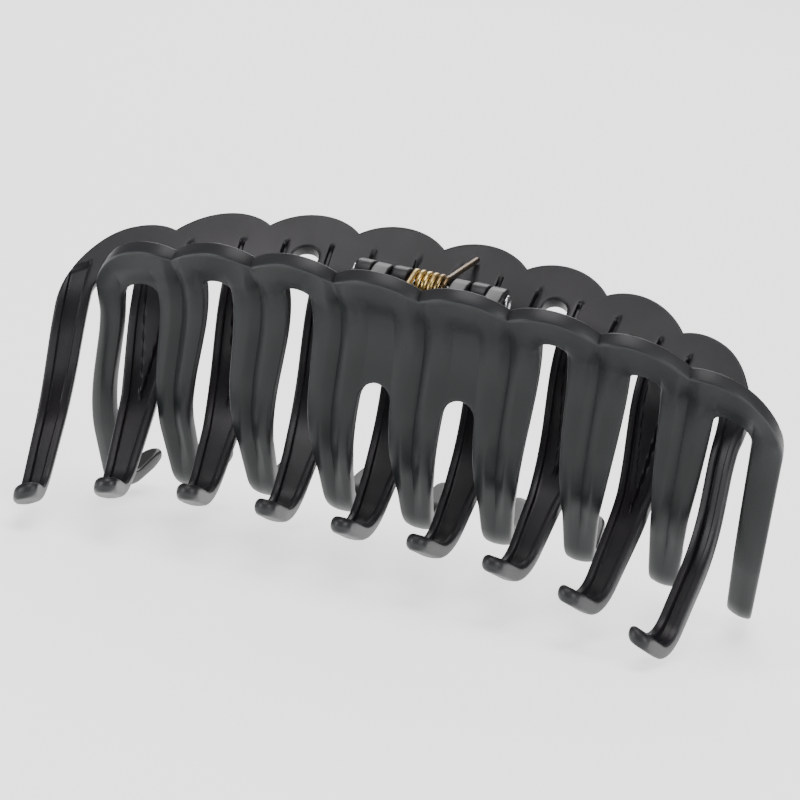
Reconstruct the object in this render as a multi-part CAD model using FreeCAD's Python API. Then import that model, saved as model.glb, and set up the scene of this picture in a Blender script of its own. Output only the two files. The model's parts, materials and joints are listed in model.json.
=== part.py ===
import FreeCAD, Part
import math
import os

# Claw clip: two identical moulded jaws, one hinge pin and one torsion spring.
# Units are millimetres. +Z is up, X runs along the hinge. The front jaw lies at -Y.
# The model is built round the hinge axis and then raised, so that the lowest prongs
# stand on z = 0 and the origin is the middle of the base.

Vec = FreeCAD.Vector

# ---- prong row ----
PRONG_COUNT = 9
PRONG_PITCH = 14.6            # distance between neighbouring prongs along the rim
JAW_OFFSET = 3.35             # each row is shifted by this much, so that the rows interlace
PLATE_THICKNESS = 2.7         # wall of the moulding

# ---- rim line of one jaw, measured from the hinge axis ----
RIM_REACH = 20.1              # rim to hinge axis at the middle of the jaw
RIM_RISE = 2.4                # height of the rim notches above the hinge axis
RIM_BOW_RADIUS = 119.0        # the rim is an arc of this radius, seen from above
RIM_DROP = (10.9, 8.5)        # how far the left and right ends of the rim come down
SCALLOP_RISE = 2.9            # scallop crest above the notches beside it
CORNER_DROP = 14.0            # height of the rounded outer corners, below the crest

# ---- cross-section of one jaw, from the rim notch down to the prong tip ----
# Corner points as (inward, down). Each inner corner is rounded by its own radius.
SECTION = [(0.0, 0.0), (9.4, 8.0), (10.6, 26.6), (26.3, 43.6), (41.8, 38.9)]
SECTION_RADII = [14.7, 19.2, 9.5]
END_INWARD = 0.75             # the section's inward reach at the end prongs, as a share
END_DOWN = (0.86, 0.95)      # its depth at the left and right end prongs, as shares
FAN_ANGLE = 0.175             # radians that the end prongs' plane turns towards the middle

# ---- prongs and slots ----
PRONG_ROOT_WIDTH = 10.4
OUTER_PRONG_ROOT_WIDTH = 9.0  # the prongs next to the end prongs
PRONG_TIP_WIDTH = 3.75
END_PRONG_INSET = (1.4, 1.0)  # left and right end prongs stand nearer the middle than a full pitch
END_PRONG_ROOT_WIDTH = 5.4
END_PRONG_TIP_WIDTH = 3.8
CROSSING_GAP = 0.65            # between neighbouring prongs of the two jaws where the rows cross
END_CROSSING_GAP = 0.7       # the same, beside an end prong
TAPER_POWER = 2.0             # how the width falls from the root to the crossing
SLOT_TOPS = [21.2, 4.4, 6.0, 7.6]   # arch of each slot below the notch line, from the middle out

# ---- hinge ----
PIN_RADIUS = 1.0
PIN_CLEARANCE = 0.05          # radial, in every lug
LUG_WALL = 1.6                # plastic round the pin's bore
LUG_WIDTH = 2.8
LUG_GAP = 0.28                # between neighbouring lugs
LUG_ROOT_TOP = 7.6            # where a lug's arm meets the plate, below the notch line
LUG_ROOT_BOTTOM = 14.4
HEAD_OVERLAP = 0.7            # a pin head's rim beyond the shaft
HEAD_THICKNESS = 0.7
HEAD_GAP = 0.1                # between a pin head and the outer lug

# ---- spring ----
WIRE_RADIUS = 0.5
COIL_RADIUS = 2.4             # to the middle of the wire
COIL_TURNS = 5
COIL_PITCH = 2.2 * WIRE_RADIUS   # the turns stay a tenth of a wire apart
COIL_SIDE_GAP = 0.5           # between the coil and the lug beside it
BACK_LEG_RISE = 2.0           # degrees that the back leg climbs away from the coil
FRONT_LEG_RISE = -20.0        # degrees that the front leg climbs: it falls
LEG_CLEARANCE = 0.15          # between a leg's end and the jaw face it presses on

# ---- working values ----
HALF_ROW = (PRONG_COUNT - 1) / 2 * PRONG_PITCH
HALF_WALL = PLATE_THICKNESS / 2
LUG_RADIUS = PIN_RADIUS + PIN_CLEARANCE + LUG_WALL
SCALLOP_RADIUS = ((PRONG_PITCH / 2) ** 2 + SCALLOP_RISE ** 2) / (2 * SCALLOP_RISE)
BACK_LUGS = (-3, -1, 2)       # lugs counted outwards from the spring, left is negative
LUG_COUNT_PER_SIDE = 3
COIL_SWEEP = COIL_TURNS - (BACK_LEG_RISE + FRONT_LEG_RISE) / 360
COIL_HALF_LENGTH = COIL_SWEEP * COIL_PITCH / 2
TOOL_HALF = HALF_WALL + 2.0   # the cutting tools reach this far from the plate's middle
RIM_TOOL_HALF = 10.0          # the rim's cutters are longer, because the rim bends away
EDGE_MARGIN = 1.0             # how far a cutting tool runs past the edge that it cuts
SLOT_STATIONS = 12
PLATE_STATIONS = 13
SECTION_STATIONS = 26
COIL_STATIONS = 10            # points on one turn of the coil
LEG_STATIONS = 4


def filleted_path(points, radii):
    """Return straight and round pieces as (kind, length, data) with a running start."""
    pieces = []
    start = points[0]
    for index, radius in enumerate(radii):
        before, corner, after = points[index], points[index + 1], points[index + 2]
        heading_in = math.atan2(corner[1] - before[1], corner[0] - before[0])
        heading_out = math.atan2(after[1] - corner[1], after[0] - corner[0])
        turn = heading_out - heading_in
        setback = radius * math.tan(abs(turn) / 2)
        arc_start = (corner[0] - setback * math.cos(heading_in),
                     corner[1] - setback * math.sin(heading_in))
        pieces.append(("line", math.dist(start, arc_start), (start, heading_in)))
        pieces.append(("arc", radius * abs(turn), (arc_start, heading_in, turn, radius)))
        start = (corner[0] + setback * math.cos(heading_out),
                 corner[1] + setback * math.sin(heading_out))
    heading = math.atan2(points[-1][1] - points[-2][1], points[-1][0] - points[-2][0])
    pieces.append(("line", math.dist(start, points[-1]), (start, heading)))
    return pieces


PATH = filleted_path(SECTION, SECTION_RADII)
PROFILE_LENGTH = sum(piece[1] for piece in PATH)


def profile(distance):
    """Point and heading of the cross-section at a distance along it from the notch."""
    left = distance
    for number, (kind, length, data) in enumerate(PATH):
        if left > length and number < len(PATH) - 1:
            left -= length
            continue
        if kind == "line":
            (x0, y0), heading = data
            return x0 + left * math.cos(heading), y0 + left * math.sin(heading), heading
        (x0, y0), heading, turn, radius = data
        side = math.copysign(1.0, turn)
        now = heading + side * left / radius
        centre_x = x0 - side * radius * math.sin(heading)
        centre_y = y0 + side * radius * math.cos(heading)
        return centre_x + side * radius * math.sin(now), centre_y - side * radius * math.cos(now), now


def plate_point(along, distance, offset):
    """Point of the back jaw: along the rim, down the section, and off its middle face."""
    share = along / HALF_ROW
    end = 0 if along < 0 else 1
    rim_y = RIM_REACH - RIM_BOW_RADIUS + math.sqrt(RIM_BOW_RADIUS ** 2 - along ** 2)
    rim_z = RIM_RISE - RIM_DROP[end] * abs(share) ** 3
    inward, down, heading = profile(distance)
    reach = 1 + (END_INWARD - 1) * share ** 2
    depth = 1 + (END_DOWN[end] - 1) * share ** 2
    tangent_in = reach * math.cos(heading)
    tangent_down = depth * math.sin(heading)
    size = math.hypot(tangent_in, tangent_down)
    inward = inward * reach + offset * tangent_down / size
    down = down * depth - offset * tangent_in / size
    fan = FAN_ANGLE * share
    return Vec(along - JAW_OFFSET - inward * math.sin(fan),
               rim_y - inward * math.cos(fan),
               rim_z - down)


def prong_centre(number):
    """Position along the rim of the middle of a prong."""
    centre = (number - (PRONG_COUNT - 1) / 2) * PRONG_PITCH
    if number == 0:
        centre += END_PRONG_INSET[0]
    if number == PRONG_COUNT - 1:
        centre -= END_PRONG_INSET[1]
    return centre


def bisect(holds, first, last):
    """The value at which holds(value) stops being true on the way from first to last."""
    for _ in range(40):
        middle = (first + last) / 2
        if holds(middle):
            first = middle
        else:
            last = middle
    return first


def meeting(number, partner):
    """Distances down a prong and a prong of the other jaw at which their inner faces meet."""
    foot = PROFILE_LENGTH * 0.8

    def inner_face(which, distance):
        return plate_point(prong_centre(which), distance, HALF_WALL)

    def partner_distance(height):
        return bisect(lambda d: inner_face(partner, d).z > height, 0.0, foot)

    def apart(distance):
        spot = inner_face(number, distance)
        return spot.y + inner_face(partner, partner_distance(spot.z)).y > 0

    distance = bisect(apart, 0.0, foot)
    return distance, partner_distance(inner_face(number, distance).z)


LAST = PRONG_COUNT - 1
MEETINGS = [meeting(number, LAST - number) for number in range(LAST)] + [meeting(LAST, 1)]


def prong_width(number, distance):
    """Width of a prong: it narrows to pass between its neighbours, then on to the tip."""
    meets, partner_meets = MEETINGS[number]
    root, tip = PRONG_ROOT_WIDTH, PRONG_TIP_WIDTH
    at_meeting = 2 * JAW_OFFSET - CROSSING_GAP
    if number in (1, LAST - 1):
        root = OUTER_PRONG_ROOT_WIDTH
    if number in (0, LAST):
        root, tip = END_PRONG_ROOT_WIDTH, END_PRONG_TIP_WIDTH
        at_meeting = root + (tip - root) * meets / PROFILE_LENGTH
    if number == LAST:
        spacing = PRONG_PITCH - 2 * JAW_OFFSET - END_PRONG_INSET[1]
        at_meeting = 2 * (spacing - END_CROSSING_GAP) - prong_width(1, partner_meets)
    if distance < meets:
        return root - (root - at_meeting) * (max(distance, 0.0) / meets) ** TAPER_POWER
    return at_meeting + (tip - at_meeting) * (distance - meets) / (PROFILE_LENGTH - meets)


def prong_edge(number, distance, side):
    """Position along the rim of one edge of a prong. side is -1 or +1."""
    return prong_centre(number) + side * prong_width(number, distance) / 2


def spread(first, last, count):
    return [first + (last - first) * i / (count - 1) for i in range(count)]


def outward_solid(shape):
    """The shape as one solid whose faces look outwards."""
    solid = Part.Solid(shape.Shells[0])
    if solid.Volume < 0:
        solid.reverse()
    return solid


def curved_plate():
    """The whole sheet of one jaw before it is cut: a loft of thick cross-sections."""
    top = -SCALLOP_RISE - EDGE_MARGIN
    distances = spread(top, PROFILE_LENGTH, SECTION_STATIONS)
    half_length = HALF_ROW + END_PRONG_ROOT_WIDTH / 2 + EDGE_MARGIN
    wires = []
    for along in spread(-half_length, half_length, PLATE_STATIONS):
        sides = []
        for offset in (-HALF_WALL, HALF_WALL):
            curve = Part.BSplineCurve()
            curve.interpolate([plate_point(along, d, offset) for d in distances])
            sides.append(curve)
        outer, inner = sides
        edges = [outer.toShape(),
                 Part.makeLine(outer.EndPoint, inner.EndPoint),
                 inner.toShape(),
                 Part.makeLine(inner.StartPoint, outer.StartPoint)]
        wires.append(Part.Wire(Part.__sortEdges__(edges)))
    return outward_solid(Part.makeLoft(wires, True, False))


def tapered_tool(left_edge, right_edge, distances):
    """A cutter that follows the plate between two edges given as functions of distance."""
    wires = []
    for distance in distances:
        low, high = left_edge(distance), right_edge(distance)
        left, right = plate_point(low, distance, 0), plate_point(high, distance, 0)
        middle = (low + high) / 2
        reach = plate_point(middle, distance, TOOL_HALF) - plate_point(middle, distance, 0)
        corners = [left - reach, right - reach, right + reach, left + reach]
        wires.append(Part.makePolygon(corners + corners[:1]))
    return outward_solid(Part.makeLoft(wires, True, False))


def slot_tool(number):
    """The slot between prong number and the next one: a tapered run with a round arch."""
    middle = (PRONG_COUNT - 2) / 2
    top = SLOT_TOPS[int(abs(number - middle))]
    left = lambda d: prong_edge(number, d, 1)
    right = lambda d: prong_edge(number + 1, d, -1)
    radius = (right(top) - left(top)) / 2
    start = top + radius
    centre = (left(start) + right(start)) / 2
    foot = plate_point(centre, start, -TOOL_HALF)
    head = plate_point(centre, start, TOOL_HALF)
    arch = Part.makeCylinder((right(start) - left(start)) / 2, (head - foot).Length, foot, head - foot)
    run = spread(start, PROFILE_LENGTH + EDGE_MARGIN, SLOT_STATIONS)
    return tapered_tool(left, right, run).fuse(arch)


def local_frame(along):
    """Directions at the notch line: along the rim, towards the crest, and off the plate."""
    step = 0.5
    sideways = plate_point(along + step, 0, 0) - plate_point(along - step, 0, 0)
    crestward = plate_point(along, -step, 0) - plate_point(along, step, 0)
    sideways.normalize()
    crestward.normalize()
    normal = sideways.cross(crestward)
    normal.normalize()
    return plate_point(along, 0, 0), sideways, normal.cross(sideways), normal


def rim_cutter(along, outline):
    """Extrude an outline of ("line" or "arc", points) drawn at the notch line of the rim."""
    origin, sideways, crestward, normal = local_frame(along)
    place = lambda p: origin + sideways * p[0] + crestward * p[1] - normal * RIM_TOOL_HALF
    edges = []
    for kind, points in outline:
        spots = [place(p) for p in points]
        if kind == "line":
            edges.append(Part.makeLine(spots[0], spots[1]))
        else:
            edges.append(Part.Arc(spots[0], spots[1], spots[2]).toShape())
    face = Part.Face(Part.Wire(edges))
    return face.extrude(normal * 2 * RIM_TOOL_HALF)


def scallop_point(centre_x, angle):
    """Point of a scallop's circle, angle measured from its crest towards +x."""
    drop = SCALLOP_RADIUS * (1 - math.cos(angle))
    return centre_x + SCALLOP_RADIUS * math.sin(angle), SCALLOP_RISE - drop


def notch_cutter(number):
    """Remove what stands above two scallops where they meet."""
    half = PRONG_PITCH / 2
    lean = math.asin(half / SCALLOP_RADIUS)
    wide = half + EDGE_MARGIN
    above = SCALLOP_RISE + 2 * EDGE_MARGIN
    crest_left, crest_right = (-half, SCALLOP_RISE), (half, SCALLOP_RISE)
    outline = [("arc", [crest_left, scallop_point(-half, lean / 2), (0, 0)]),
               ("arc", [(0, 0), scallop_point(half, -lean / 2), crest_right]),
               ("line", [crest_right, (wide, SCALLOP_RISE)]),
               ("line", [(wide, SCALLOP_RISE), (wide, above)]),
               ("line", [(wide, above), (-wide, above)]),
               ("line", [(-wide, above), (-wide, SCALLOP_RISE)]),
               ("line", [(-wide, SCALLOP_RISE), crest_left])]
    return rim_cutter((number - (PRONG_COUNT - 1) / 2) * PRONG_PITCH, outline)


def end_edge(distance, number):
    """Outer edge of the jaw: a quarter ellipse from the end scallop's crest, then the prong."""
    side = 1 if number else -1
    root_edge = prong_edge(number, distance, side)
    below_crest = max(distance + SCALLOP_RISE, 0)
    if below_crest >= CORNER_DROP:
        return root_edge
    height = 1 - below_crest / CORNER_DROP
    crest = side * (HALF_ROW - PRONG_PITCH / 2)
    return crest + (root_edge - crest) * math.sqrt(1 - height ** 2)


def end_tool(number):
    """Round off the outer corner of the rim and trim the outer side of the end prong."""
    side = 1 if number else -1
    outer = lambda d: side * (HALF_ROW + END_PRONG_ROOT_WIDTH)
    inner = lambda d: end_edge(d, number)
    left, right = (inner, outer) if number else (outer, inner)
    turns = spread(0.0, math.pi / 2, SLOT_STATIONS)
    corner = [CORNER_DROP * (1 - math.cos(turn)) - SCALLOP_RISE for turn in turns]
    above = [-SCALLOP_RISE - 2 * EDGE_MARGIN, -SCALLOP_RISE - EDGE_MARGIN]
    below = spread(corner[-1], PROFILE_LENGTH + EDGE_MARGIN, SLOT_STATIONS)
    return tapered_tool(left, right, above + corner).fuse(tapered_tool(left, right, below))


def lug_centre(slot):
    """Middle of a lug along X, counted outwards from the spring, negative on the left."""
    spring_half = COIL_HALF_LENGTH + WIRE_RADIUS + COIL_SIDE_GAP
    distance = spring_half + LUG_WIDTH / 2 + (abs(slot) - 1) * (LUG_WIDTH + LUG_GAP)
    return math.copysign(distance, slot)


def lug(centre_x):
    """One hinge lug: a round eye and an arm that reaches the middle of the plate."""
    left = centre_x - LUG_WIDTH / 2
    along = centre_x + JAW_OFFSET
    top = plate_point(along, LUG_ROOT_TOP, 0)
    bottom = plate_point(along, LUG_ROOT_BOTTOM, 0)
    corners = [Vec(left, 0, LUG_RADIUS), Vec(left, top.y, top.z),
               Vec(left, bottom.y, bottom.z), Vec(left, 0, -LUG_RADIUS)]
    arm = Part.Face(Part.makePolygon(corners + corners[:1])).extrude(Vec(LUG_WIDTH, 0, 0))
    eye = Part.makeCylinder(LUG_RADIUS, LUG_WIDTH, Vec(left, 0, 0), Vec(1, 0, 0))
    return arm.fuse(eye).removeSplitter()


def jaw():
    """One jaw in the back position: cut plate, three lugs and the pin's bore."""
    tools = [notch_cutter(number) for number in range(1, PRONG_COUNT - 1)]
    for number in (0, PRONG_COUNT - 1):
        tools.append(end_tool(number))
    for number in range(PRONG_COUNT - 1):
        tools.append(slot_tool(number))
    body = curved_plate()
    for tool in tools:
        body = body.cut(tool)
    for slot in BACK_LUGS:
        body = body.fuse(lug(lug_centre(slot)))
    reach = lug_centre(LUG_COUNT_PER_SIDE) + LUG_WIDTH
    bore = Part.makeCylinder(PIN_RADIUS + PIN_CLEARANCE, 2 * reach, Vec(-reach, 0, 0), Vec(1, 0, 0))
    return largest_solid(body.cut(bore))


def largest_solid(shape):
    return max(shape.Solids, key=lambda solid: solid.Volume)


def hinge_pin():
    """A turned pin with a low head at each end."""
    shaft_end = lug_centre(LUG_COUNT_PER_SIDE) + LUG_WIDTH / 2 + HEAD_GAP
    head_radius = PIN_RADIUS + HEAD_OVERLAP
    tip = shaft_end + HEAD_THICKNESS
    half = [(shaft_end, PIN_RADIUS), (shaft_end, head_radius), (tip - HEAD_THICKNESS / 3, head_radius),
            (tip, PIN_RADIUS), (tip, 0)]
    outline = [(-x, r) for x, r in reversed(half)] + half
    corners = [Vec(x, 0, r) for x, r in outline]
    face = Part.Face(Part.makePolygon(corners + corners[:1]))
    return largest_solid(face.revolve(Vec(0, 0, 0), Vec(1, 0, 0), 360))


def leg_run(rise):
    """Length of a leg from the coil until its end lies just off the jaw's inner face."""
    slope = math.radians(rise)
    start_y, start_z = -COIL_RADIUS * math.sin(slope), COIL_RADIUS * math.cos(slope)
    stand_off = HALF_WALL + WIRE_RADIUS + LEG_CLEARANCE

    def to_leg(distance):
        spot = plate_point(COIL_HALF_LENGTH + JAW_OFFSET, distance, stand_off)
        across, up = spot.y - start_y, spot.z - start_z
        run = across * math.cos(slope) + up * math.sin(slope)
        return run, up * math.cos(slope) - across * math.sin(slope)

    return to_leg(bisect(lambda d: to_leg(d)[1] > 0, -SCALLOP_RISE, LUG_ROOT_BOTTOM))[0]


def leg_spot(rise, side, run):
    """Point on a leg. side is +1 for the leg on the back jaw, -1 for the front jaw."""
    slope = math.radians(rise)
    return Vec(side * COIL_HALF_LENGTH,
               side * (run * math.cos(slope) - COIL_RADIUS * math.sin(slope)),
               COIL_RADIUS * math.cos(slope) + run * math.sin(slope))


def torsion_spring():
    """A close-wound coil round the pin, with one straight leg on each jaw, in one wire."""
    front_runs = spread(leg_run(FRONT_LEG_RISE), WIRE_RADIUS, LEG_STATIONS)
    back_runs = spread(WIRE_RADIUS, leg_run(BACK_LEG_RISE), LEG_STATIONS)
    first_angle = math.radians(90 - FRONT_LEG_RISE)
    path = [leg_spot(FRONT_LEG_RISE, -1, run) for run in front_runs]
    for share in spread(0.0, 1.0, round(COIL_SWEEP * COIL_STATIONS)):
        angle = first_angle - 2 * math.pi * COIL_SWEEP * share
        path.append(Vec(COIL_HALF_LENGTH * (2 * share - 1),
                        COIL_RADIUS * math.cos(angle), COIL_RADIUS * math.sin(angle)))
    path.extend(leg_spot(BACK_LEG_RISE, 1, run) for run in back_runs)
    curve = Part.BSplineCurve()
    curve.interpolate(path)
    ring = Part.Wire(Part.makeCircle(WIRE_RADIUS, path[0], path[1] - path[0]))
    return largest_solid(Part.Wire(curve.toShape()).makePipeShell([ring], True, False))


def build():
    """All four pieces, raised so that the lowest prongs stand on z = 0."""
    back = jaw()
    front = back.copy()
    front.rotate(Vec(0, 0, 0), Vec(0, 0, 1), 180)
    pieces = {"back_jaw": back, "front_jaw": front,
              "hinge_pin": hinge_pin(), "torsion_spring": torsion_spring()}
    lift = -back.optimalBoundingBox(False, False).ZMin
    print("hinge axis height", round(lift, 3))
    for shape in pieces.values():
        shape.translate(Vec(0, 0, lift))
    return pieces


if __name__ == "__main__":
    os.makedirs("parts", exist_ok=True)
    for node, shape in build().items():
        print(node, shape.isValid(), len(shape.Solids), round(shape.Volume, 1), shape.BoundBox)
        shape.exportStep("parts/" + node + ".step")
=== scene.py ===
# %% [markdown]
# # A large hair claw clip
#
# Two identical moulded jaws turn on one steel pin. A brass-coloured torsion spring sits
# round the pin between the hinge lugs and pushes the jaws shut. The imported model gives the
# sizes, the hinge and the bodies that move. This script gives the clip its looks: the finely
# moulded jaws, the wound wire, the turned pin, their finishes, the light and the camera.

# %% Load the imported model
import json
import math

import bmesh
import bpy
import numpy as np
from mathutils import Matrix, Vector


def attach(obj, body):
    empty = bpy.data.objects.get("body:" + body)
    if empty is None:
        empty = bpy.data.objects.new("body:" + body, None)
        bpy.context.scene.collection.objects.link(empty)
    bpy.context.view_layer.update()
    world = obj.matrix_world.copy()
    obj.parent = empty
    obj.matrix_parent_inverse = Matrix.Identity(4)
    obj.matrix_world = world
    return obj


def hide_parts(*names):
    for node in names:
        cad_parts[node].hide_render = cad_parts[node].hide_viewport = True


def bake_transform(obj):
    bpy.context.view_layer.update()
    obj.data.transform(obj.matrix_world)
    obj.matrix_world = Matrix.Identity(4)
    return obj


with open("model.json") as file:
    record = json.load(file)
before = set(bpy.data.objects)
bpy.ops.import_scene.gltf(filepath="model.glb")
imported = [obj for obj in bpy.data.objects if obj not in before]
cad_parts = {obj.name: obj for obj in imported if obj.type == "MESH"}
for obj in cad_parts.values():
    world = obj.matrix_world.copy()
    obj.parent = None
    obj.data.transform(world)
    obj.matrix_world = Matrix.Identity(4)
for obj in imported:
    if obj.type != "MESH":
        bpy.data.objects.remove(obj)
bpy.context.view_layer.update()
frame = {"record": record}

HINGE_Z = frame["record"]["behaviour"]["joints"][0]["pos_m"][2]
MM = 0.001
print("hinge height", round(HINGE_Z / MM, 2), "mm")

# %% [markdown]
# ## The shape of a jaw
#
# A jaw is a thick curved plate. Two numbers name any place on it: how far it is along the
# rim, and how far it is down the cross-section from the notches between the scallops. A third
# number moves the place off the middle of the wall. The driving sizes below are millimetres
# and repeat the design's own, so that the fine surface lies where the plain solids are.

# %% Driving sizes of the jaws
PRONG_COUNT = 9
LAST = PRONG_COUNT - 1
PRONG_PITCH = 14.6
JAW_OFFSET = 3.35
HALF_WALL = 1.35
RIM_REACH = 20.1
RIM_RISE = 2.4
RIM_BOW_RADIUS = 119.0
RIM_DROP = (10.9, 8.5)
SCALLOP_RISE = 2.9
SECTION = [(0.0, 0.0), (9.4, 8.0), (10.6, 26.6), (26.3, 43.6), (41.8, 38.9)]
SECTION_RADII = [14.7, 19.2, 9.5]
END_INWARD = 0.75
END_DOWN = (0.86, 0.95)
FAN_ANGLE = 0.175
PRONG_ROOT_WIDTH = 10.4
OUTER_PRONG_ROOT_WIDTH = 9.0
PRONG_TIP_WIDTH = 3.75
END_PRONG_INSET = (1.4, 1.0)
END_PRONG_ROOT_WIDTH = 5.4
END_PRONG_TIP_WIDTH = 3.8
CROSSING_GAP = 0.65
END_CROSSING_GAP = 0.7
TAPER_POWER = 2.0
SLOT_TOPS = [21.2, 4.4, 6.0, 7.6]
HALF_ROW = LAST / 2 * PRONG_PITCH
END_CREST = HALF_ROW - PRONG_PITCH / 2
SCALLOP_RADIUS = ((PRONG_PITCH / 2) ** 2 + SCALLOP_RISE ** 2) / (2 * SCALLOP_RISE)
CORNER_DROP = 14.0
print(PRONG_COUNT, "prongs on each jaw,", round(2 * HALF_ROW, 1), "mm from first to last")

# %% [markdown]
# The cross-section runs in along the flared rim, turns down, bends in again under the hair
# and ends in an upturned hook. Straight runs joined by arcs describe it. A run or an arc is
# a start point, a heading and a curvature, so one short formula gives every point on it.

# %% The cross-section as runs and arcs


def section_pieces():
    """List of (first distance, x, y, heading, curvature) from the notch to the tip."""
    pieces = []
    start, travelled = SECTION[0], 0.0
    for radius, before, corner, after in zip(SECTION_RADII, SECTION, SECTION[1:], SECTION[2:]):
        heading_in = math.atan2(corner[1] - before[1], corner[0] - before[0])
        heading_out = math.atan2(after[1] - corner[1], after[0] - corner[0])
        turn = heading_out - heading_in
        setback = radius * math.tan(abs(turn) / 2)
        arc_start = (corner[0] - setback * math.cos(heading_in),
                     corner[1] - setback * math.sin(heading_in))
        pieces.append((travelled, *start, heading_in, 0.0))
        travelled += math.dist(start, arc_start)
        pieces.append((travelled, *arc_start, heading_in, math.copysign(1 / radius, turn)))
        travelled += radius * abs(turn)
        start = (corner[0] + setback * math.cos(heading_out),
                 corner[1] + setback * math.sin(heading_out))
    pieces.append((travelled, *start, heading_out, 0.0))
    return pieces, travelled + math.dist(start, SECTION[-1])


PIECES, TIP_DISTANCE = section_pieces()


def section_at(distance):
    """Inward, down and heading at distances along the cross-section."""
    inward, down, heading = (np.zeros_like(distance) for _ in range(3))
    for number, (first, x, y, start_heading, curvature) in enumerate(PIECES):
        here = distance >= first if number else np.ones_like(distance, dtype=bool)
        run = distance[here] - first
        now = start_heading + curvature * run
        heading[here] = now
        if curvature:
            inward[here] = x + (np.sin(now) - math.sin(start_heading)) / curvature
            down[here] = y - (np.cos(now) - math.cos(start_heading)) / curvature
        else:
            inward[here] = x + run * math.cos(start_heading)
            down[here] = y + run * math.sin(start_heading)
    return inward, down, heading


print("cross-section", round(TIP_DISTANCE, 1), "mm long in", len(PIECES), "pieces")

# %% [markdown]
# The rim is bowed when seen from above and drops towards both ends. The section leans and
# shrinks a little towards the ends too, so the end prongs wrap round the hair.

# %% A point of the back jaw


def jaw_point(along, distance, offset):
    """Millimetres from the hinge axis. The offset is positive towards the hair."""
    along, distance, offset = np.broadcast_arrays(*(np.asarray(v, float) for v in (along, distance, offset)))
    share = along / HALF_ROW
    left = along < 0
    rim_y = RIM_REACH - RIM_BOW_RADIUS + np.sqrt(RIM_BOW_RADIUS ** 2 - along ** 2)
    rim_z = RIM_RISE - np.where(left, *RIM_DROP) * np.abs(share) ** 3
    inward, down, heading = section_at(distance)
    reach = 1 + (END_INWARD - 1) * share ** 2
    depth = 1 + (np.where(left, *END_DOWN) - 1) * share ** 2
    tangent_in, tangent_down = reach * np.cos(heading), depth * np.sin(heading)
    size = np.hypot(tangent_in, tangent_down)
    inward = inward * reach + offset * tangent_down / size
    down = down * depth - offset * tangent_in / size
    fan = FAN_ANGLE * share
    return np.stack([along - JAW_OFFSET - inward * np.sin(fan),
                     rim_y - inward * np.cos(fan),
                     rim_z - down], axis=-1)


print("middle of the rim", jaw_point([0.0], [0.0], [0.0]).round(2).tolist())

# %% [markdown]
# ## Where the prongs pass each other
#
# The two rows of prongs interlace. A prong may only be as wide, at the height where it slips
# past its neighbours of the other jaw, as leaves a small gap. So that height is found first,
# by halving an interval again and again, and the widths follow from it.

# %% Prong centres, meetings and widths


def prong_centre(number):
    centre = (number - LAST / 2) * PRONG_PITCH
    if number == 0:
        centre += END_PRONG_INSET[0]
    if number == LAST:
        centre -= END_PRONG_INSET[1]
    return centre


def bisect(holds, first, last):
    """The value at which holds(value) stops being true on the way from first to last."""
    for _ in range(24):
        middle = (first + last) / 2
        if holds(middle):
            first = middle
        else:
            last = middle
    return first


def meeting(number, partner):
    """Distances down a prong and a prong of the other jaw at which their inner faces meet."""
    foot = TIP_DISTANCE * 0.8

    def inner_face(which, distance):
        return jaw_point([prong_centre(which)], [distance], [HALF_WALL])[0]

    def partner_distance(height):
        return bisect(lambda d: inner_face(partner, d)[2] > height, 0.0, foot)

    def apart(distance):
        spot = inner_face(number, distance)
        return spot[1] + inner_face(partner, partner_distance(spot[2]))[1] > 0

    distance = bisect(apart, 0.0, foot)
    return distance, partner_distance(inner_face(number, distance)[2])


MEETINGS = [meeting(number, LAST - number) for number in range(LAST)] + [meeting(LAST, 1)]


def prong_width(number, distance):
    """Width of a prong: it narrows to pass between its neighbours, then on to the tip."""
    distance = np.asarray(distance, float)
    meets, partner_meets = MEETINGS[number]
    root, tip = PRONG_ROOT_WIDTH, PRONG_TIP_WIDTH
    at_meeting = 2 * JAW_OFFSET - CROSSING_GAP
    if number in (1, LAST - 1):
        root = OUTER_PRONG_ROOT_WIDTH
    if number in (0, LAST):
        root, tip = END_PRONG_ROOT_WIDTH, END_PRONG_TIP_WIDTH
        at_meeting = root + (tip - root) * meets / TIP_DISTANCE
    if number == LAST:
        spacing = PRONG_PITCH - 2 * JAW_OFFSET - END_PRONG_INSET[1]
        at_meeting = 2 * (spacing - END_CROSSING_GAP) - float(prong_width(1, partner_meets))
    above = root - (root - at_meeting) * (np.clip(distance, 0, meets) / meets) ** TAPER_POWER
    below = at_meeting + (tip - at_meeting) * (distance - meets) / (TIP_DISTANCE - meets)
    return np.where(distance < meets, above, below)


print("prongs pass each other", [round(m[0], 1) for m in MEETINGS], "mm down")

# %% [markdown]
# ## The outline of a jaw, unrolled
#
# Unrolled flat, a jaw is a comb. Its top edge is a row of round scallops, its outer corners
# are quarter ellipses, each slot ends in a round arch, and each prong ends in a round tip.
# Every one of those curves has a formula, and so has the distance from any point to it.
# That distance drives the rounding of the moulding's edges.

# %% The edges of the comb
TIP_CAP = 2.1


def corner_reach(along, distance):
    """How far the end prong's outer edge stands beyond the end crest."""
    reaches = [abs(prong_centre(number)) + prong_width(number, distance) / 2 - END_CREST
               for number in (0, LAST)]
    return np.where(along < 0, *reaches)


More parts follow.
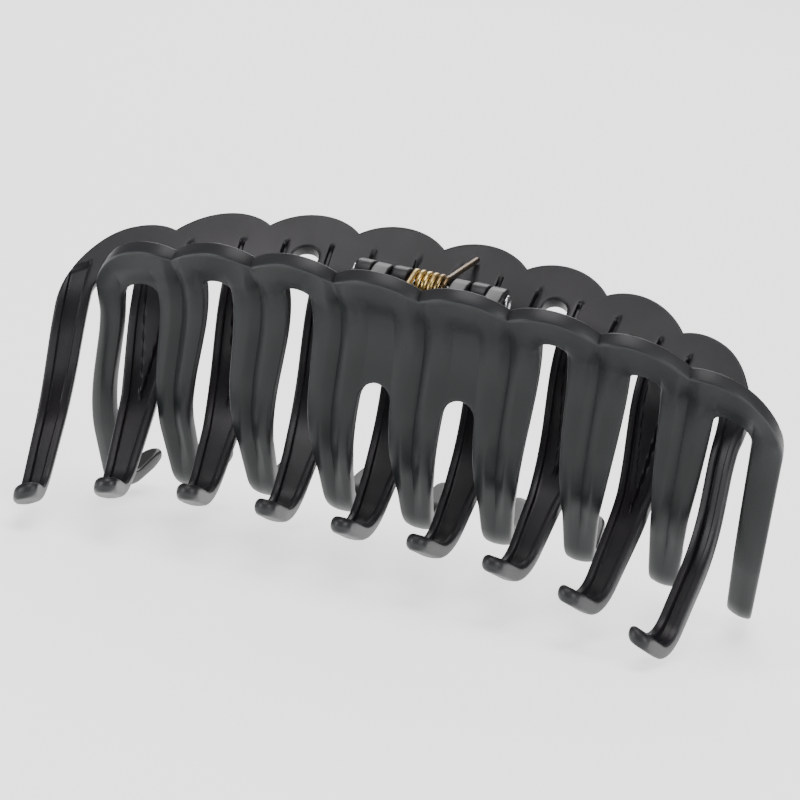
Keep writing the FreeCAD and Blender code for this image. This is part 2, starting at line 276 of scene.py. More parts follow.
def rim_distance(along):
    """Distance down the section of the scalloped rim, which is negative at a crest."""
    nearest = (np.clip(np.floor(along / PRONG_PITCH), -LAST / 2, LAST / 2 - 1) + 0.5) * PRONG_PITCH
    scallop = SCALLOP_RADIUS - SCALLOP_RISE - np.sqrt(SCALLOP_RADIUS ** 2 - (along - nearest) ** 2)
    share = np.clip((np.abs(along) - END_CREST) / corner_reach(along, 0.0), 0, 1)
    corner = CORNER_DROP * (1 - np.sqrt(1 - share ** 2)) - SCALLOP_RISE
    return np.where(np.abs(along) > END_CREST, corner, scallop)


def rim_clearance(along, distance):
    """How far a point lies inside the scalloped rim and its rounded corners."""
    nearest = (np.clip(np.floor(along / PRONG_PITCH), -LAST / 2, LAST / 2 - 1) + 0.5) * PRONG_PITCH
    scallop = SCALLOP_RADIUS - np.hypot(along - nearest, distance + SCALLOP_RISE - SCALLOP_RADIUS)
    reach = corner_reach(along, distance)
    across, height = np.abs(along) - END_CREST, CORNER_DROP - SCALLOP_RISE - distance
    share = np.hypot(across / reach, height / CORNER_DROP)
    slope = np.hypot(across / reach ** 2, height / CORNER_DROP ** 2) + 1e-9
    inside = np.where(np.abs(along) > END_CREST, share * (1 - share) / slope, scallop)
    below_centre = distance > np.where(np.abs(along) > END_CREST, CORNER_DROP, SCALLOP_RADIUS) - SCALLOP_RISE
    return np.where(below_centre, 99.0, inside)


def slot_shape(number):
    """Middle, starting distance and radius of the arch between a prong and the next."""
    top = SLOT_TOPS[int(abs(number - (LAST - 1) / 2))]
    gap = lambda d: (prong_centre(number + 1) - float(prong_width(number + 1, d)) / 2
                     - prong_centre(number) - float(prong_width(number, d)) / 2)
    start = top + gap(top) / 2
    left = prong_centre(number) + float(prong_width(number, start)) / 2
    return left + gap(start) / 2, start, gap(start) / 2


SLOTS = [slot_shape(number) for number in range(LAST)]
print("slot arches", [round(2 * radius, 1) for _, _, radius in SLOTS], "mm wide")

# %% [markdown]
# ## A grid over the comb
#
# Each prong and each web between two prongs is one block of quads. Columns crowd together at
# the edges of a prong and rows crowd together at the rim, the arches and the tips, because
# that is where the surface turns. Neighbouring blocks share their border columns.

# %% Rows and columns
EDGE_INSETS = np.array([0.0, 0.06, 0.2, 0.42, 0.7, 1.0, 1.2, 1.4])
MIDDLE_COLUMNS = 21
WEB_COLUMNS = 15
UPPER_ROWS = 26
LOWER_ROWS = 104
EDGE_ROWS = np.array([0.0, 0.05, 0.16, 0.34])


def crowded(count, ends=0.6):
    """Shares from 0 to 1 that crowd towards both ends."""
    even = np.linspace(0, 1, count)
    return (1 - ends) * even + ends * (0.5 - 0.5 * np.cos(math.pi * even))


def upper_rows(first, last):
    """Distances from the rim to a slot's start, for arrays of first and last values."""
    inner = (first + EDGE_ROWS[-1])[..., None]
    outer = (last - EDGE_ROWS[-1])[..., None]
    middle = inner + (outer - inner) * crowded(UPPER_ROWS)
    return np.concatenate([first[..., None] + EDGE_ROWS[:-1], middle,
                           last[..., None] - EDGE_ROWS[-2::-1]], axis=-1)


def cap_share(distance):
    """How the width closes in a round tip: 1 above the cap, 0 at its end."""
    into = np.clip((distance - (TIP_DISTANCE - TIP_CAP)) / TIP_CAP, 0, 0.998)
    return np.sqrt(1 - into ** 2)


def prong_block(number):
    """(along, distance) of a prong's grid, columns first."""
    starts = [SLOTS[max(number - 1, 0)][1], SLOTS[min(number, LAST - 1)][1]]
    half_root = float(prong_width(number, 0)) / 2
    half_middle = half_root - EDGE_INSETS[-1]
    across = np.concatenate([EDGE_INSETS[:-1] - half_root,
                             np.linspace(-half_middle, half_middle, MIDDLE_COLUMNS),
                             half_root - EDGE_INSETS[-2::-1]])
    share = (across + half_root) / (2 * half_root)
    start = starts[0] + (starts[1] - starts[0]) * share
    top = rim_distance(prong_centre(number) + across)
    low = np.linspace(0, 1, LOWER_ROWS + 1)[1:]
    low = np.where(low > 0.94, 0.94 + 0.06 * np.sin((low - 0.94) / 0.06 * math.pi / 2), low)
    lower = start[:, None] + (TIP_DISTANCE - start)[:, None] * low
    distance = np.concatenate([upper_rows(top, start), lower], axis=1)
    width = prong_width(number, distance) * cap_share(distance)
    inset = np.minimum(EDGE_INSETS[-1], width * 0.3)
    edge_share = (half_root - np.abs(across))[:, None] / EDGE_INSETS[-1]
    middle_share = across[:, None] / half_middle
    placed = np.where(edge_share < 1,
                      np.sign(across)[:, None] * (width / 2 - inset * edge_share),
                      middle_share * (width / 2 - inset))
    return prong_centre(number) + placed, distance


def web_block(number):
    """(along, distance) of the grid above a slot, down to its arch."""
    middle, start, radius = SLOTS[number]
    lean = np.sin(np.linspace(-math.pi / 2, math.pi / 2, WEB_COLUMNS))[:, None]
    left_root = prong_centre(number) + float(prong_width(number, 0)) / 2
    right_root = prong_centre(number + 1) - float(prong_width(number + 1, 0)) / 2
    top = rim_distance((left_root + right_root) / 2 + lean[:, 0] * (right_root - left_root) / 2)
    arch = start - radius * np.sqrt(np.clip(1 - lean[:, 0] ** 2, 0, 1))
    distance = upper_rows(top, arch)
    left = prong_centre(number) + prong_width(number, distance) / 2
    right = prong_centre(number + 1) - prong_width(number + 1, distance) / 2
    return (left + right) / 2 + lean * (right - left) / 2, distance


blocks = [("prong", n, *prong_block(n)) for n in range(PRONG_COUNT)]
blocks += [("web", n, *web_block(n)) for n in range(LAST)]
print("grid points on one face", sum(block[2].size for block in blocks))

# %% [markdown]
# ## Relief of the moulding
#
# The outer face of a prong carries a V groove down its middle, so it reads as two rounded
# ridges. The inner face has shallow channels between raised edges: two narrow ones at the
# top, which widen round a tapering middle rib until they meet in one. All edges are rounded.
# Each of these is a small change of the offset from the middle of the wall.

# %% Relief as offsets
EDGE_ROUND = 0.42
CROWN_DEPTH = 0.5
CROWN_WIDTH = 2.3
GROOVE_DEPTH = 0.95
GROOVE_HALF = 1.7
GROOVE_FADES = (38, 50)
TIP_EDGE_ROUND = 1.2
CHANNEL_DEPTH = 0.85
CHANNEL_RIB = 1.15
CHANNEL_WALL = 0.3
RIB_END = 33.0


def smoothstep(low, high, value):
    share = np.clip((value - low) / (high - low), 0, 1)
    return share * share * (3 - 2 * share)


def round_over(clearance, radius):
    """How far a face drops towards an edge rounded by a radius."""
    short = radius - np.clip(clearance, 0, radius)
    return radius - np.sqrt(radius ** 2 - short ** 2)


def slot_clearance(number, along, distance):
    """Distance from a slot's edge, with its round arch."""
    middle, start, radius = SLOTS[number]
    left = prong_centre(number) + prong_width(number, distance) / 2
    right = prong_centre(number + 1) - prong_width(number + 1, distance) / 2
    beside = np.maximum(left - along, along - right)
    above = np.hypot(along - middle, distance - start) - radius
    return np.maximum(np.where(distance < start, above, beside), 0)


def clearance_at(kind, number, along, distance):
    """Distance to the nearest edge of the comb."""
    nearest = rim_clearance(along, distance)
    slots = [number] if kind == "web" else [n for n in (number - 1, number) if 0 <= n < LAST]
    for slot in slots:
        nearest = np.minimum(nearest, slot_clearance(slot, along, distance))
    if kind == "prong":
        half = prong_width(number, distance) / 2
        across = np.abs(along - prong_centre(number))
        if number in (0, LAST):
            outside = (along - prong_centre(number)) * (1 if number else -1)
            below_corner = distance > CORNER_DROP - SCALLOP_RISE
            nearest = np.where(below_corner, np.minimum(nearest, half - outside), nearest)
        into = np.clip(distance - (TIP_DISTANCE - TIP_CAP), 0, None) / TIP_CAP
        cap = (1 - np.hypot(into, across / half)) * half
        nearest = np.where(into > 0, np.minimum(nearest, cap), nearest)
    return np.maximum(nearest, 0)


def relief(kind, number, along, distance):
    """Offsets of the outer and inner face, and the clearance from the nearest edge."""
    clearance = clearance_at(kind, number, along, distance)
    tip_share = smoothstep(TIP_DISTANCE - 5, TIP_DISTANCE - 0.5, distance)
    edge = EDGE_ROUND + (TIP_EDGE_ROUND - EDGE_ROUND) * tip_share
    outer = -HALF_WALL + round_over(clearance, edge)
    inner = HALF_WALL - round_over(clearance, edge)
    flare = smoothstep(1.5, 8.0, distance)
    if kind == "web":
        return outer + CROWN_DEPTH * flare, inner, clearance
    half = prong_width(number, distance) / 2
    across = np.abs(along - prong_centre(number))
    crown = CROWN_DEPTH * (1 - np.clip((half - across) / CROWN_WIDTH, 0, 1)) ** 2
    fade = 1 - 0.6 * smoothstep(TIP_DISTANCE - 14, TIP_DISTANCE - 4, distance)
    outer = outer + crown * flare * fade
    channel = smoothstep(0, CHANNEL_WALL, half - CHANNEL_RIB - across)
    if number not in (0, LAST):
        groove = np.clip(1 - across / GROOVE_HALF, 0, 1) ** 1.15 * GROOVE_DEPTH
        outer = outer + groove * (0.35 + 0.65 * flare) * (1 - smoothstep(*GROOVE_FADES, distance))
        rib = (half - CHANNEL_RIB - 0.9) * (1 - np.clip((distance - 5) / (RIB_END - 5), 0, 1) ** 1.6)
        joined = smoothstep(RIB_END - 1.0, RIB_END + 0.5, distance)
        channel = np.maximum(channel * smoothstep(0, CHANNEL_WALL, across - rib), joined * channel)
    length = smoothstep(3.2, 4.6, distance) * (1 - smoothstep(TIP_DISTANCE - 13, TIP_DISTANCE - 8, distance))
    return outer, inner - CHANNEL_DEPTH * channel * length, clearance


print("thinnest wall about", round(2 * HALF_WALL - GROOVE_DEPTH - CHANNEL_DEPTH, 2), "mm")

# %% [markdown]
# ## From grid to mesh
#
# The outer and inner faces are the same grid at two offsets. Points that two blocks share are
# merged, and wherever the grid has an open border the two faces are joined by a wall. Two
# colour layers are stored on the mesh for the plastic's colour: how close a point is to an
# edge, which drives edge wear and a painted highlight, and whether it lies on the inside of
# the jaw, which gets painted light.

# %% Build the moulded sheet


def jaw_arrays():
    """Vertices of one jaw in millimetres, its faces, and the two layers for edge wear, painted highlight and
    painted light.
    """
    flats, offsets, layers, quads = [], [], [], []
    first = 0
    for kind, number, along, distance in blocks:
        outer, inner, clearance = relief(kind, number, along, distance)
        flats.append(np.stack([along, distance], axis=-1).reshape(-1, 2))
        offsets.append(np.stack([outer, inner], axis=-1).reshape(-1, 2))
        layers.append(clearance.reshape(-1))
        columns, rows = along.shape
        index = first + np.arange(columns * rows).reshape(columns, rows)
        quads.append(np.stack([index[:-1, :-1], index[:-1, 1:], index[1:, 1:], index[1:, :-1]],
                              axis=-1).reshape(-1, 4))
        first += columns * rows
    flat, offset, layer = np.concatenate(flats), np.concatenate(offsets), np.concatenate(layers)
    _, keep, place = np.unique(np.round(flat, 4), axis=0, return_index=True, return_inverse=True)
    quad = place.reshape(-1)[np.concatenate(quads)]
    flat, offset, layer = flat[keep], offset[keep], layer[keep]
    count = len(flat)
    outer = jaw_point(flat[:, 0], flat[:, 1], offset[:, 0])
    inner = jaw_point(flat[:, 0], flat[:, 1], offset[:, 1])
    edges = np.concatenate([quad[:, [k, (k + 1) % 4]] for k in range(4)])
    code = edges.min(axis=1) * count + edges.max(axis=1)
    _, where, uses = np.unique(code, return_index=True, return_counts=True)
    border = edges[where[uses == 1]]
    walls = np.stack([border[:, 1], border[:, 0], border[:, 0] + count, border[:, 1] + count], axis=-1)
    faces = np.concatenate([quad, quad[:, ::-1] + count, walls])
    inside = np.concatenate([np.zeros(count), np.ones(count)])
    return np.concatenate([outer, inner]), faces, np.concatenate([layer, layer]), inside


def mesh_piece(name, vertices, faces, body, sharp_degrees=38):
    """A smooth-shaded mesh from millimetre points round the hinge axis."""
    mesh = bpy.data.meshes.new(name)
    placed = np.asarray(vertices) * MM + (0, 0, HINGE_Z)
    mesh.from_pydata(placed.tolist(), [], [list(face) for face in faces])
    mesh.validate()
    mesh.shade_smooth()
    mesh.set_sharp_from_angle(angle=math.radians(sharp_degrees))
    piece = bpy.data.objects.new(name, mesh)
    bpy.context.collection.objects.link(piece)
    if body:
        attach(piece, body)
    return piece


def add_layer(piece, name, values):
    layer = piece.data.attributes.new(name, "FLOAT", "POINT")
    layer.data.foreach_set("value", np.asarray(values, dtype=np.float32))


vertices, faces, edge_clearance, inside = jaw_arrays()
jaws = {}
for node, turn in (("back_jaw", 1), ("front_jaw", -1)):
    jaw = mesh_piece(node + "_moulding", vertices * (turn, turn, 1), faces, node)
    # The clearance layer drives edge wear and a painted edge highlight; the inside layer drives painted
    # light on the inner faces.
    add_layer(jaw, "clearance", edge_clearance)
    add_layer(jaw, "inside", inside)
    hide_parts(node)
    jaws[node] = jaw
print("each jaw has", len(faces), "faces")

# %% [markdown]
# ## Hinge lugs
#
# Three lugs stand on each jaw and take turns along the pin. Each is a small block with a
# round front, a flat top and an arm that runs down to the plate. A closed outline in the
# plane across the hinge is given a thickness, and a bevel softens its edges. A boolean cut
# opens the bore for the pin.

# %% Lugs
PIN_RADIUS = 1.0
PIN_CLEARANCE = 0.05
LUG_RADIUS = 2.65
LUG_WIDTH = 2.8
LUG_GAP = 0.28
LUG_TOP_FLAT = 2.2
LUG_ROOT_TOP = 7.6
LUG_ROOT_BOTTOM = 14.4
LUG_BEVEL = 0.38
BACK_LUGS = (-3, -1, 2)
WIRE_RADIUS = 0.5
COIL_RADIUS = 2.4
COIL_TURNS = 5
COIL_PITCH = 1.1
COIL_SIDE_GAP = 0.5
BACK_LEG_RISE = 2.0
FRONT_LEG_RISE = -20.0
COIL_SWEEP = COIL_TURNS - (BACK_LEG_RISE + FRONT_LEG_RISE) / 360
COIL_HALF_LENGTH = COIL_SWEEP * COIL_PITCH / 2


def lug_centre(slot):
    spring_half = COIL_HALF_LENGTH + WIRE_RADIUS + COIL_SIDE_GAP
    distance = spring_half + LUG_WIDTH / 2 + (abs(slot) - 1) * (LUG_WIDTH + LUG_GAP)
    return math.copysign(distance, slot)


def lug_outline(centre_x):
    """Points (y, z) round a back lug, from its top flat over the round front to its foot."""
    along = centre_x + JAW_OFFSET
    top = jaw_point([along], [LUG_ROOT_TOP], [0])[0]
    bottom = jaw_point([along], [LUG_ROOT_BOTTOM], [0])[0]
    turns = [math.radians(90 + 180 * step / 14) for step in range(15)]
    front = [(LUG_RADIUS * math.cos(turn), LUG_RADIUS * math.sin(turn)) for turn in turns]
    return [(top[1], top[2]), (LUG_TOP_FLAT, LUG_RADIUS - 0.25)] + front + [(bottom[1], bottom[2])]


def apply_modifiers(piece):
    evaluated = piece.evaluated_get(bpy.context.evaluated_depsgraph_get())
    mesh = bpy.data.meshes.new_from_object(evaluated)
    piece.modifiers.clear()
    piece.data = mesh


def bore_tool():
    bm = bmesh.new()
    bmesh.ops.create_cone(bm, cap_ends=True, segments=40, radius1=(PIN_RADIUS + PIN_CLEARANCE) * MM,
                          radius2=(PIN_RADIUS + PIN_CLEARANCE) * MM, depth=40 * MM,
                          matrix=Matrix.Translation((0, 0, HINGE_Z)) @ Matrix.Rotation(math.pi / 2, 4, "Y"))
    mesh = bpy.data.meshes.new("bore_tool")
    bm.to_mesh(mesh)
    bm.free()
    tool = bpy.data.objects.new("bore_tool", mesh)
    bpy.context.collection.objects.link(tool)
    return tool


def lug_piece(name, centre_x, turn, body, tool):
    outline = lug_outline(centre_x)
    count = len(outline)
    half = LUG_WIDTH / 2
    points = [(centre_x + side * half, y, z) for side in (-1, 1) for y, z in outline]
    sides = [list(range(count)), list(range(2 * count - 1, count - 1, -1))]
    sides += [[k, k + count, (k + 1) % count + count, (k + 1) % count] for k in range(count)]
    piece = mesh_piece(name, np.array(points) * (turn, turn, 1), sides, body, 50)
    bevel = piece.modifiers.new("bevel", "BEVEL")
    bevel.width = LUG_BEVEL * MM
    bevel.segments = 4
    bevel.angle_limit = math.radians(35)
    cut = piece.modifiers.new("bore", "BOOLEAN")
    cut.object = tool
    apply_modifiers(piece)
    piece.data.shade_smooth()
    piece.data.set_sharp_from_angle(angle=math.radians(50))
    # Lugs get no painted edge highlight, and they get the painted light of the inner faces.
    add_layer(piece, "clearance", np.full(len(piece.data.vertices), 1.0))
    add_layer(piece, "inside", np.ones(len(piece.data.vertices)))
    return piece


tool = bore_tool()
lugs = []
for node, turn in (("back_jaw", 1), ("front_jaw", -1)):
    for position, slot in enumerate(BACK_LUGS):
        name = node.split("_")[0] + "_lug_" + str(position + 1)
        lugs.append(lug_piece(name, lug_centre(slot), turn, node, tool))
bpy.data.objects.remove(tool)
print(len(lugs), "lugs, outermost centre", round(lug_centre(3), 2), "mm from the middle")

# %% [markdown]
# ## Hinge pin
#
# The pin is turned from steel wire, with a low domed head at each end. A profile turned round
# the hinge axis gives it, like work on a lathe.

# %% Pin
HEAD_OVERLAP = 0.7
HEAD_THICKNESS = 0.7
HEAD_GAP = 0.1
PIN_SEGMENTS = 40


def turned_piece(name, profile, body):
    """Revolve (x, radius) points round the hinge axis. The first and last lie on it."""
    points = [(profile[0][0], 0, 0)]
    for x, radius in profile[1:-1]:
        for step in range(PIN_SEGMENTS):
            turn = 2 * math.pi * step / PIN_SEGMENTS
            points.append((x, radius * math.cos(turn), radius * math.sin(turn)))
    points.append((profile[-1][0], 0, 0))
    rings = len(profile) - 2
    last = len(points) - 1
    shell = [[0, 1 + (k + 1) % PIN_SEGMENTS, 1 + k] for k in range(PIN_SEGMENTS)]
    for ring in range(rings - 1):
        low, high = 1 + ring * PIN_SEGMENTS, 1 + (ring + 1) * PIN_SEGMENTS
        shell += [[low + k, low + (k + 1) % PIN_SEGMENTS, high + (k + 1) % PIN_SEGMENTS, high + k]
                  for k in range(PIN_SEGMENTS)]
    shell += [[last, last - PIN_SEGMENTS + k, last - PIN_SEGMENTS + (k + 1) % PIN_SEGMENTS]
              for k in range(PIN_SEGMENTS)]
    return mesh_piece(name, points, shell, body, 45)


shaft_end = lug_centre(3) + LUG_WIDTH / 2 + HEAD_GAP
head_radius = PIN_RADIUS + HEAD_OVERLAP
half_profile = [(shaft_end, PIN_RADIUS),
                (shaft_end, head_radius - 0.12),
                (shaft_end + 0.06, head_radius - 0.02)]
for step in range(1, 8):
    turn = math.pi / 2 * step / 7
    half_profile.append((shaft_end + 0.25 + (HEAD_THICKNESS - 0.25) * math.sin(turn),
                         head_radius * math.cos(turn) if step < 7 else 0.0))
half_profile.insert(3, (shaft_end + 0.25, head_radius))
profile = [(-x, radius) for x, radius in reversed(half_profile)] + half_profile
pin = turned_piece("turned_pin", profile, "back_jaw")
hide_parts("hinge_pin")
print("pin", round(2 * (shaft_end + HEAD_THICKNESS), 1), "mm long")

# %% [markdown]
# ## Torsion spring
#
# One wire makes the whole spring: a straight leg that rests on the front jaw, five close
# turns round the pin, and a second leg on the back jaw. A circle carried along the wire's
# path gives the skin. The path has a tangent everywhere, so each ring of points is set square
# to it.

# %% Spring wire
WIRE_SIDES = 18
TURN_STATIONS = 40
LEG_CLEARANCE = 0.15


def leg_spot(rise, side, run):
    slope = math.radians(rise)
    return (side * COIL_HALF_LENGTH,
            side * (run * math.cos(slope) - COIL_RADIUS * math.sin(slope)),
            COIL_RADIUS * math.cos(slope) + run * math.sin(slope))


def leg_run(rise):
    """Length of a leg from the coil until its end lies just off the jaw's inner face."""
    slope = math.radians(rise)
    start_y, start_z = -COIL_RADIUS * math.sin(slope), COIL_RADIUS * math.cos(slope)
    stand_off = HALF_WALL + WIRE_RADIUS + LEG_CLEARANCE

    def to_leg(distance):
        spot = jaw_point([COIL_HALF_LENGTH + JAW_OFFSET], [distance], [stand_off])[0]
        across, up = spot[1] - start_y, spot[2] - start_z
        run = across * math.cos(slope) + up * math.sin(slope)
        return run, up * math.cos(slope) - across * math.sin(slope)

    return to_leg(bisect(lambda d: to_leg(d)[1] > 0, -SCALLOP_RISE, LUG_ROOT_BOTTOM))[0]


def wire_path():
    first_angle = math.radians(90 - FRONT_LEG_RISE)
    path = [leg_spot(FRONT_LEG_RISE, -1, run) for run in np.linspace(leg_run(FRONT_LEG_RISE), 0.4, 14)]
    for share in np.linspace(0, 1, int(COIL_SWEEP * TURN_STATIONS)):
        angle = first_angle - 2 * math.pi * COIL_SWEEP * share
        path.append((COIL_HALF_LENGTH * (2 * share - 1),
                     COIL_RADIUS * math.cos(angle), COIL_RADIUS * math.sin(angle)))
    path += [leg_spot(BACK_LEG_RISE, 1, run) for run in np.linspace(0.4, leg_run(BACK_LEG_RISE), 18)]
    return np.array(path)


def skin_wire(path, radius, sides):
    """Rings round a path, with rounded ends, and how far along the wire each ring is."""
    tangent = np.gradient(path, axis=0)
    tangent /= np.linalg.norm(tangent, axis=1)[:, None]
    side = np.cross(tangent, (1.0, 0.0, 0.0))
    side /= np.linalg.norm(side, axis=1)[:, None]
    other = np.cross(tangent, side)
    steps = np.linalg.norm(np.diff(path, axis=0), axis=1)
    run = np.concatenate([[0], np.cumsum(steps)]) / steps.sum()
    rings = [(0, -0.0, 0.72), (0, 0.12, 1.0)]
    rings += [(k, 0.0, 1.0) for k in range(1, len(path) - 1)]
    rings += [(len(path) - 1, -0.12, 1.0), (len(path) - 1, 0.0, 0.72)]
    points, share = [], []
    for k, shift, scale in rings:
        centre = path[k] + tangent[k] * shift
        for step in range(sides):
            turn = 2 * math.pi * step / sides
            points.append(centre + radius * scale * (side[k] * math.cos(turn) + other[k] * math.sin(turn)))
            share.append(run[k])
    shell = [list(range(sides - 1, -1, -1))]
    for ring in range(len(rings) - 1):
        low, high = ring * sides, (ring + 1) * sides
        shell += [[low + k, low + (k + 1) % sides, high + (k + 1) % sides, high + k] for k in range(sides)]
    shell.append(list(range((len(rings) - 1) * sides, len(rings) * sides)))
    return points, shell, share


path = wire_path()
wire_points, wire_faces, wire_share = skin_wire(path, WIRE_RADIUS, WIRE_SIDES)
spring = mesh_piece("wound_spring", wire_points, wire_faces, None)
add_layer(spring, "along", wire_share)
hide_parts("torsion_spring")
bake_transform(spring)
print("wire", round(float(np.linalg.norm(np.diff(path, axis=0), axis=1).sum()), 1), "mm long")

# %% [markdown]
# ## Finishes
#
# The plastic and both metals show a fine random grain and a slow drift in tone. One node
# group makes both, so each finish only chooses its own scales. It gives out two masks and a
# bumped normal, and the shader itself stays in each material.

# %% A node group for grain


def grain_group():
    group = bpy.data.node_groups.new("surface grain", "ShaderNodeTree")
    face = group.interface
    for name, default in (("Fine scale", 4000.0), ("Broad scale", 60.0), ("Bump strength", 0.1)):
        socket = face.new_socket(name, in_out="INPUT", socket_type="NodeSocketFloat")
        socket.default_value = default
    face.new_socket("Fine", in_out="OUTPUT", socket_type="NodeSocketFloat")
    face.new_socket("Broad", in_out="OUTPUT", socket_type="NodeSocketFloat")
    face.new_socket("Normal", in_out="OUTPUT", socket_type="NodeSocketVector")
    nodes, links = group.nodes, group.links
    inputs, outputs = nodes.new("NodeGroupInput"), nodes.new("NodeGroupOutput")
    where = nodes.new("ShaderNodeTexCoord")
    fine, broad = nodes.new("ShaderNodeTexNoise"), nodes.new("ShaderNodeTexNoise")
    fine.inputs["Detail"].default_value = 3.0
    broad.inputs["Detail"].default_value = 4.0
    bump = nodes.new("ShaderNodeBump")
    bump.inputs["Distance"].default_value = 0.00012
    for noise, scale in ((fine, "Fine scale"), (broad, "Broad scale")):
        links.new(where.outputs["Object"], noise.inputs["Vector"])
        links.new(inputs.outputs[scale], noise.inputs["Scale"])
    links.new(fine.outputs["Fac"], bump.inputs["Height"])
    links.new(inputs.outputs["Bump strength"], bump.inputs["Strength"])
    links.new(fine.outputs["Fac"], outputs.inputs["Fine"])
    links.new(broad.outputs["Fac"], outputs.inputs["Broad"])
    links.new(bump.outputs["Normal"], outputs.inputs["Normal"])
    return group


GRAIN = grain_group()
print("group sockets", [item.name for item in GRAIN.interface.items_tree])

# %% Helpers to wire a finish


def new_finish(name, fine, broad, strength):
    """A material with its shader and a grain group already linked to the normal."""
    material = bpy.data.materials.new(name)
    material.use_nodes = True
    nodes, links = material.node_tree.nodes, material.node_tree.links
    shader = nodes["Principled BSDF"]
    grain = nodes.new("ShaderNodeGroup")
    grain.node_tree = GRAIN
    for socket, value in (("Fine scale", fine), ("Broad scale", broad), ("Bump strength", strength)):
        grain.inputs[socket].default_value = value
    links.new(grain.outputs["Normal"], shader.inputs["Normal"])
    return material, nodes, links, shader, grain


COLOUR_INPUTS = (6, 7)          # the mix node's sockets A and B for colours
COLOUR_OUTPUT = 2


def mix_colours(nodes, links, factor, first, second):
    """Blend two colours, each a constant or another node's output."""
    mix = nodes.new("ShaderNodeMix")
    mix.data_type = "RGBA"
    links.new(factor, mix.inputs["Factor"])
    for socket, value in zip(COLOUR_INPUTS, (first, second)):
        if isinstance(value, tuple):
            mix.inputs[socket].default_value = (*value, 1)
        else:
            links.new(value, mix.inputs[socket])
    return mix.outputs[COLOUR_OUTPUT]


def map_range(nodes, links, value, low, high, out_low, out_high):
    node = nodes.new("ShaderNodeMapRange")
    node.interpolation_type = "SMOOTHSTEP"
    links.new(value, node.inputs["Value"])
    for socket, number in (("From Min", low), ("From Max", high), ("To Min", out_low), ("To Max", out_high)):
        node.inputs[socket].default_value = number
    return node.outputs["Result"]


def read_layer(nodes, name):
    layer = nodes.new("ShaderNodeAttribute")
    layer.attribute_name = name
    return layer.outputs["Fac"]


# %% [markdown]
# The jaws are black plastic with a satin skin. The show side is a cold black. The inside and
# the rim are painted lighter and warmer, painted light for the overhead light on them, and
# the rounded edges are painted a little lighter, partly wear and partly a painted highlight.

# %% Jaw plastic
PLASTIC_SPECULAR = 0.3


def jaw_plastic():
    material, nodes, links, shader, grain = new_finish("satin black plastic", 5200.0, 70.0, 0.16)
    # Painted light: the inner faces, rim and lugs get a lighter, warmer colour than the outer face, where
    # the overhead light falls.
    outside, painted_lit_inner, edge_wear_and_highlight_tone = (0.0050, 0.0068, 0.0070), (0.0120, 0.0104, 0.0125), (0.030, 0.030, 0.032)
    tone_and_painted_light = mix_colours(nodes, links, read_layer(nodes, "inside"), outside, painted_lit_inner)
    drift = map_range(nodes, links, grain.outputs["Broad"], 0.3, 0.7, 0.0, 0.35)
    tone_and_painted_light = mix_colours(nodes, links, drift, tone_and_painted_light, (0.009, 0.010, 0.0105))
    # Painted highlight and wear: the plastic is painted lighter near the rounded edges of the jaws.
    edge_wear_and_highlight = map_range(nodes, links, read_layer(nodes, "clearance"), 0.0, 0.5, 0.55, 0.0)
    links.new(mix_colours(nodes, links, edge_wear_and_highlight, tone_and_painted_light, edge_wear_and_highlight_tone), shader.inputs["Base Color"])
    shader.inputs["Specular IOR Level"].default_value = PLASTIC_SPECULAR
    roughness = map_range(nodes, links, grain.outputs["Broad"], 0.25, 0.75, 0.36, 0.46)
    links.new(roughness, shader.inputs["Roughness"])
    return material


plastic = jaw_plastic()
for piece in list(jaws.values()) + lugs:
    piece.data.materials.clear()
    piece.data.materials.append(plastic)
print("plastic on", len(jaws) + len(lugs), "pieces")

# %% [markdown]
# The spring is brass-coloured wire. It is brightest on the coil's left half and turns dark
# bronze from the middle of the coil along the back leg. The pin is bright steel with fine drawing marks.

# %% Metals


def spring_brass():
    material, nodes, links, shader, grain = new_finish("brass wire darker along back leg", 9000.0, 500.0, 0.12)
    shader.inputs["Metallic"].default_value = 1.0
    # The wire's colour turns darker from the middle of the coil along the back leg.
    darker_along_wire = map_range(nodes, links, read_layer(nodes, "along"), 0.45, 0.86, 0.0, 1.0)
    colour = mix_colours(nodes, links, darker_along_wire, (0.62, 0.45, 0.17), (0.115, 0.078, 0.050))
    patches = map_range(nodes, links, grain.outputs["Broad"], 0.42, 0.68, 0.0, 0.55)
    colour = mix_colours(nodes, links, patches, colour, (0.20, 0.13, 0.055))
    links.new(colour, shader.inputs["Base Color"])
    roughness = map_range(nodes, links, grain.outputs["Broad"], 0.3, 0.7, 0.22, 0.38)
    links.new(roughness, shader.inputs["Roughness"])
    return material


def pin_steel():
    material, nodes, links, shader, grain = new_finish("drawn steel", 7000.0, 400.0, 0.10)
    shader.inputs["Metallic"].default_value = 1.0
    colour = mix_colours(nodes, links, grain.outputs["Broad"], (0.60, 0.60, 0.62), (0.46, 0.46, 0.48))
    links.new(colour, shader.inputs["Base Color"])
    roughness = map_range(nodes, links, grain.outputs["Fine"], 0.3, 0.7, 0.18, 0.3)
    links.new(roughness, shader.inputs["Roughness"])
    return material


for piece, metal in ((spring, spring_brass()), (pin, pin_steel())):
    piece.data.materials.clear()
    piece.data.materials.append(metal)
print("metals", spring.data.materials[0].name, "and", pin.data.materials[0].name)

# %% [markdown]
# ## Floor, light and camera
#
# The clip stands on a plain pale floor, which glows a little so that it looks nearly white.
# Broad soft lights from above and from both sides draw the long highlights down the prongs.
# The camera looks slightly down from the front right with a long lens, and leans a little to
# one side.

# %% Floor
FLOOR_SIZE = 6.0
FLOOR_GLOW = 1.3
FLOOR_DROP = 0.0005


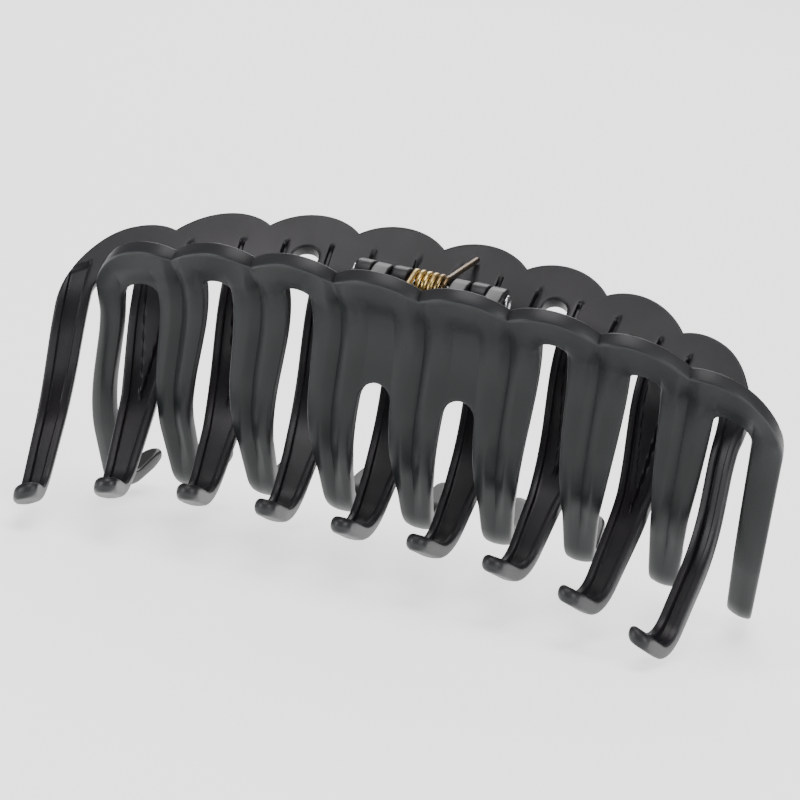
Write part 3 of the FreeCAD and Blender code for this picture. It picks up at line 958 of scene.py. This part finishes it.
def pale_floor():
    mesh = bpy.data.meshes.new("floor")
    half = FLOOR_SIZE / 2
    corners = [(-half, -half, 0), (half, -half, 0), (half, half, 0), (-half, half, 0)]
    mesh.from_pydata(corners, [], [(0, 1, 2, 3)])
    floor = bpy.data.objects.new("floor", mesh)
    bpy.context.collection.objects.link(floor)
    material, nodes, links, shader, grain = new_finish("pale floor", 300.0, 3.0, 0.02)
    links.new(mix_colours(nodes, links, grain.outputs["Broad"], (0.90, 0.90, 0.90), (0.93, 0.93, 0.93)),
              shader.inputs["Base Color"])
    shader.inputs["Roughness"].default_value = 0.8
    shader.inputs["Emission Color"].default_value = (1, 1, 1, 1)
    shader.inputs["Emission Strength"].default_value = FLOOR_GLOW
    mesh.materials.append(material)
    return floor


floor = pale_floor()
floor.location.z = -FLOOR_DROP
print("floor", FLOOR_SIZE, "m wide")

# %% Lights
WORLD_LIGHT = 0.18


def soft_light(name, azimuth, elevation, distance, size, watts, tint=(1, 1, 1)):
    """A square soft light that points at the clip from a compass direction round it."""
    lamp = bpy.data.lights.new(name, "AREA")
    lamp.energy, lamp.size, lamp.color = watts, size, tint
    light = bpy.data.objects.new(name, lamp)
    turn, rise = math.radians(azimuth), math.radians(elevation)
    direction = Vector((math.sin(turn) * math.cos(rise), -math.cos(turn) * math.cos(rise), math.sin(rise)))
    light.location = Vector((0, 0, HINGE_Z / 2)) + direction * distance
    light.rotation_euler = direction.to_track_quat("Z", "Y").to_euler()
    bpy.context.collection.objects.link(light)
    return light


world = bpy.data.worlds.new("studio")
world.use_nodes = True
world.node_tree.nodes["Background"].inputs["Color"].default_value = (1, 1, 1, 1)
world.node_tree.nodes["Background"].inputs["Strength"].default_value = WORLD_LIGHT
bpy.context.scene.world = world
soft_light("overhead", 0, 82, 0.9, 0.6, 6.0, (1.0, 0.975, 0.99))
soft_light("left front", -52, 18, 0.8, 0.35, 3.2, (0.97, 1.0, 1.0))
soft_light("right front", 78, 22, 0.8, 0.35, 3.2, (0.97, 1.0, 1.0))
soft_light("behind", 190, 35, 0.9, 0.5, 4.0)

# %% Camera
CAMERA_AZIMUTH = 13.54
CAMERA_ELEVATION = 11.85
CAMERA_ROLL = 9.56
CAMERA_DISTANCE = 1.075
CAMERA_AIM = (-1.4, -2.2, -18.6)
SENSOR_WIDTH = 36.0
LENS = 297.0

camera = bpy.data.objects.new("camera", bpy.data.cameras.new("camera"))
turn, rise = math.radians(CAMERA_AZIMUTH), math.radians(CAMERA_ELEVATION)
backward = Vector((math.sin(turn) * math.cos(rise), -math.cos(turn) * math.cos(rise), math.sin(rise)))
aim = Vector(CAMERA_AIM) * MM + Vector((0, 0, HINGE_Z))
leaning = Matrix.Rotation(math.radians(CAMERA_ROLL), 4, "Z")
camera.matrix_world = (Matrix.Translation(aim + backward * CAMERA_DISTANCE)
                       @ backward.to_track_quat("Z", "Y").to_matrix().to_4x4() @ leaning)
camera.data.sensor_width = SENSOR_WIDTH
camera.data.lens = LENS
camera.data.clip_end = 20.0
bpy.context.collection.objects.link(camera)
bpy.context.scene.camera = camera
print("camera at", [round(value, 3) for value in camera.location])
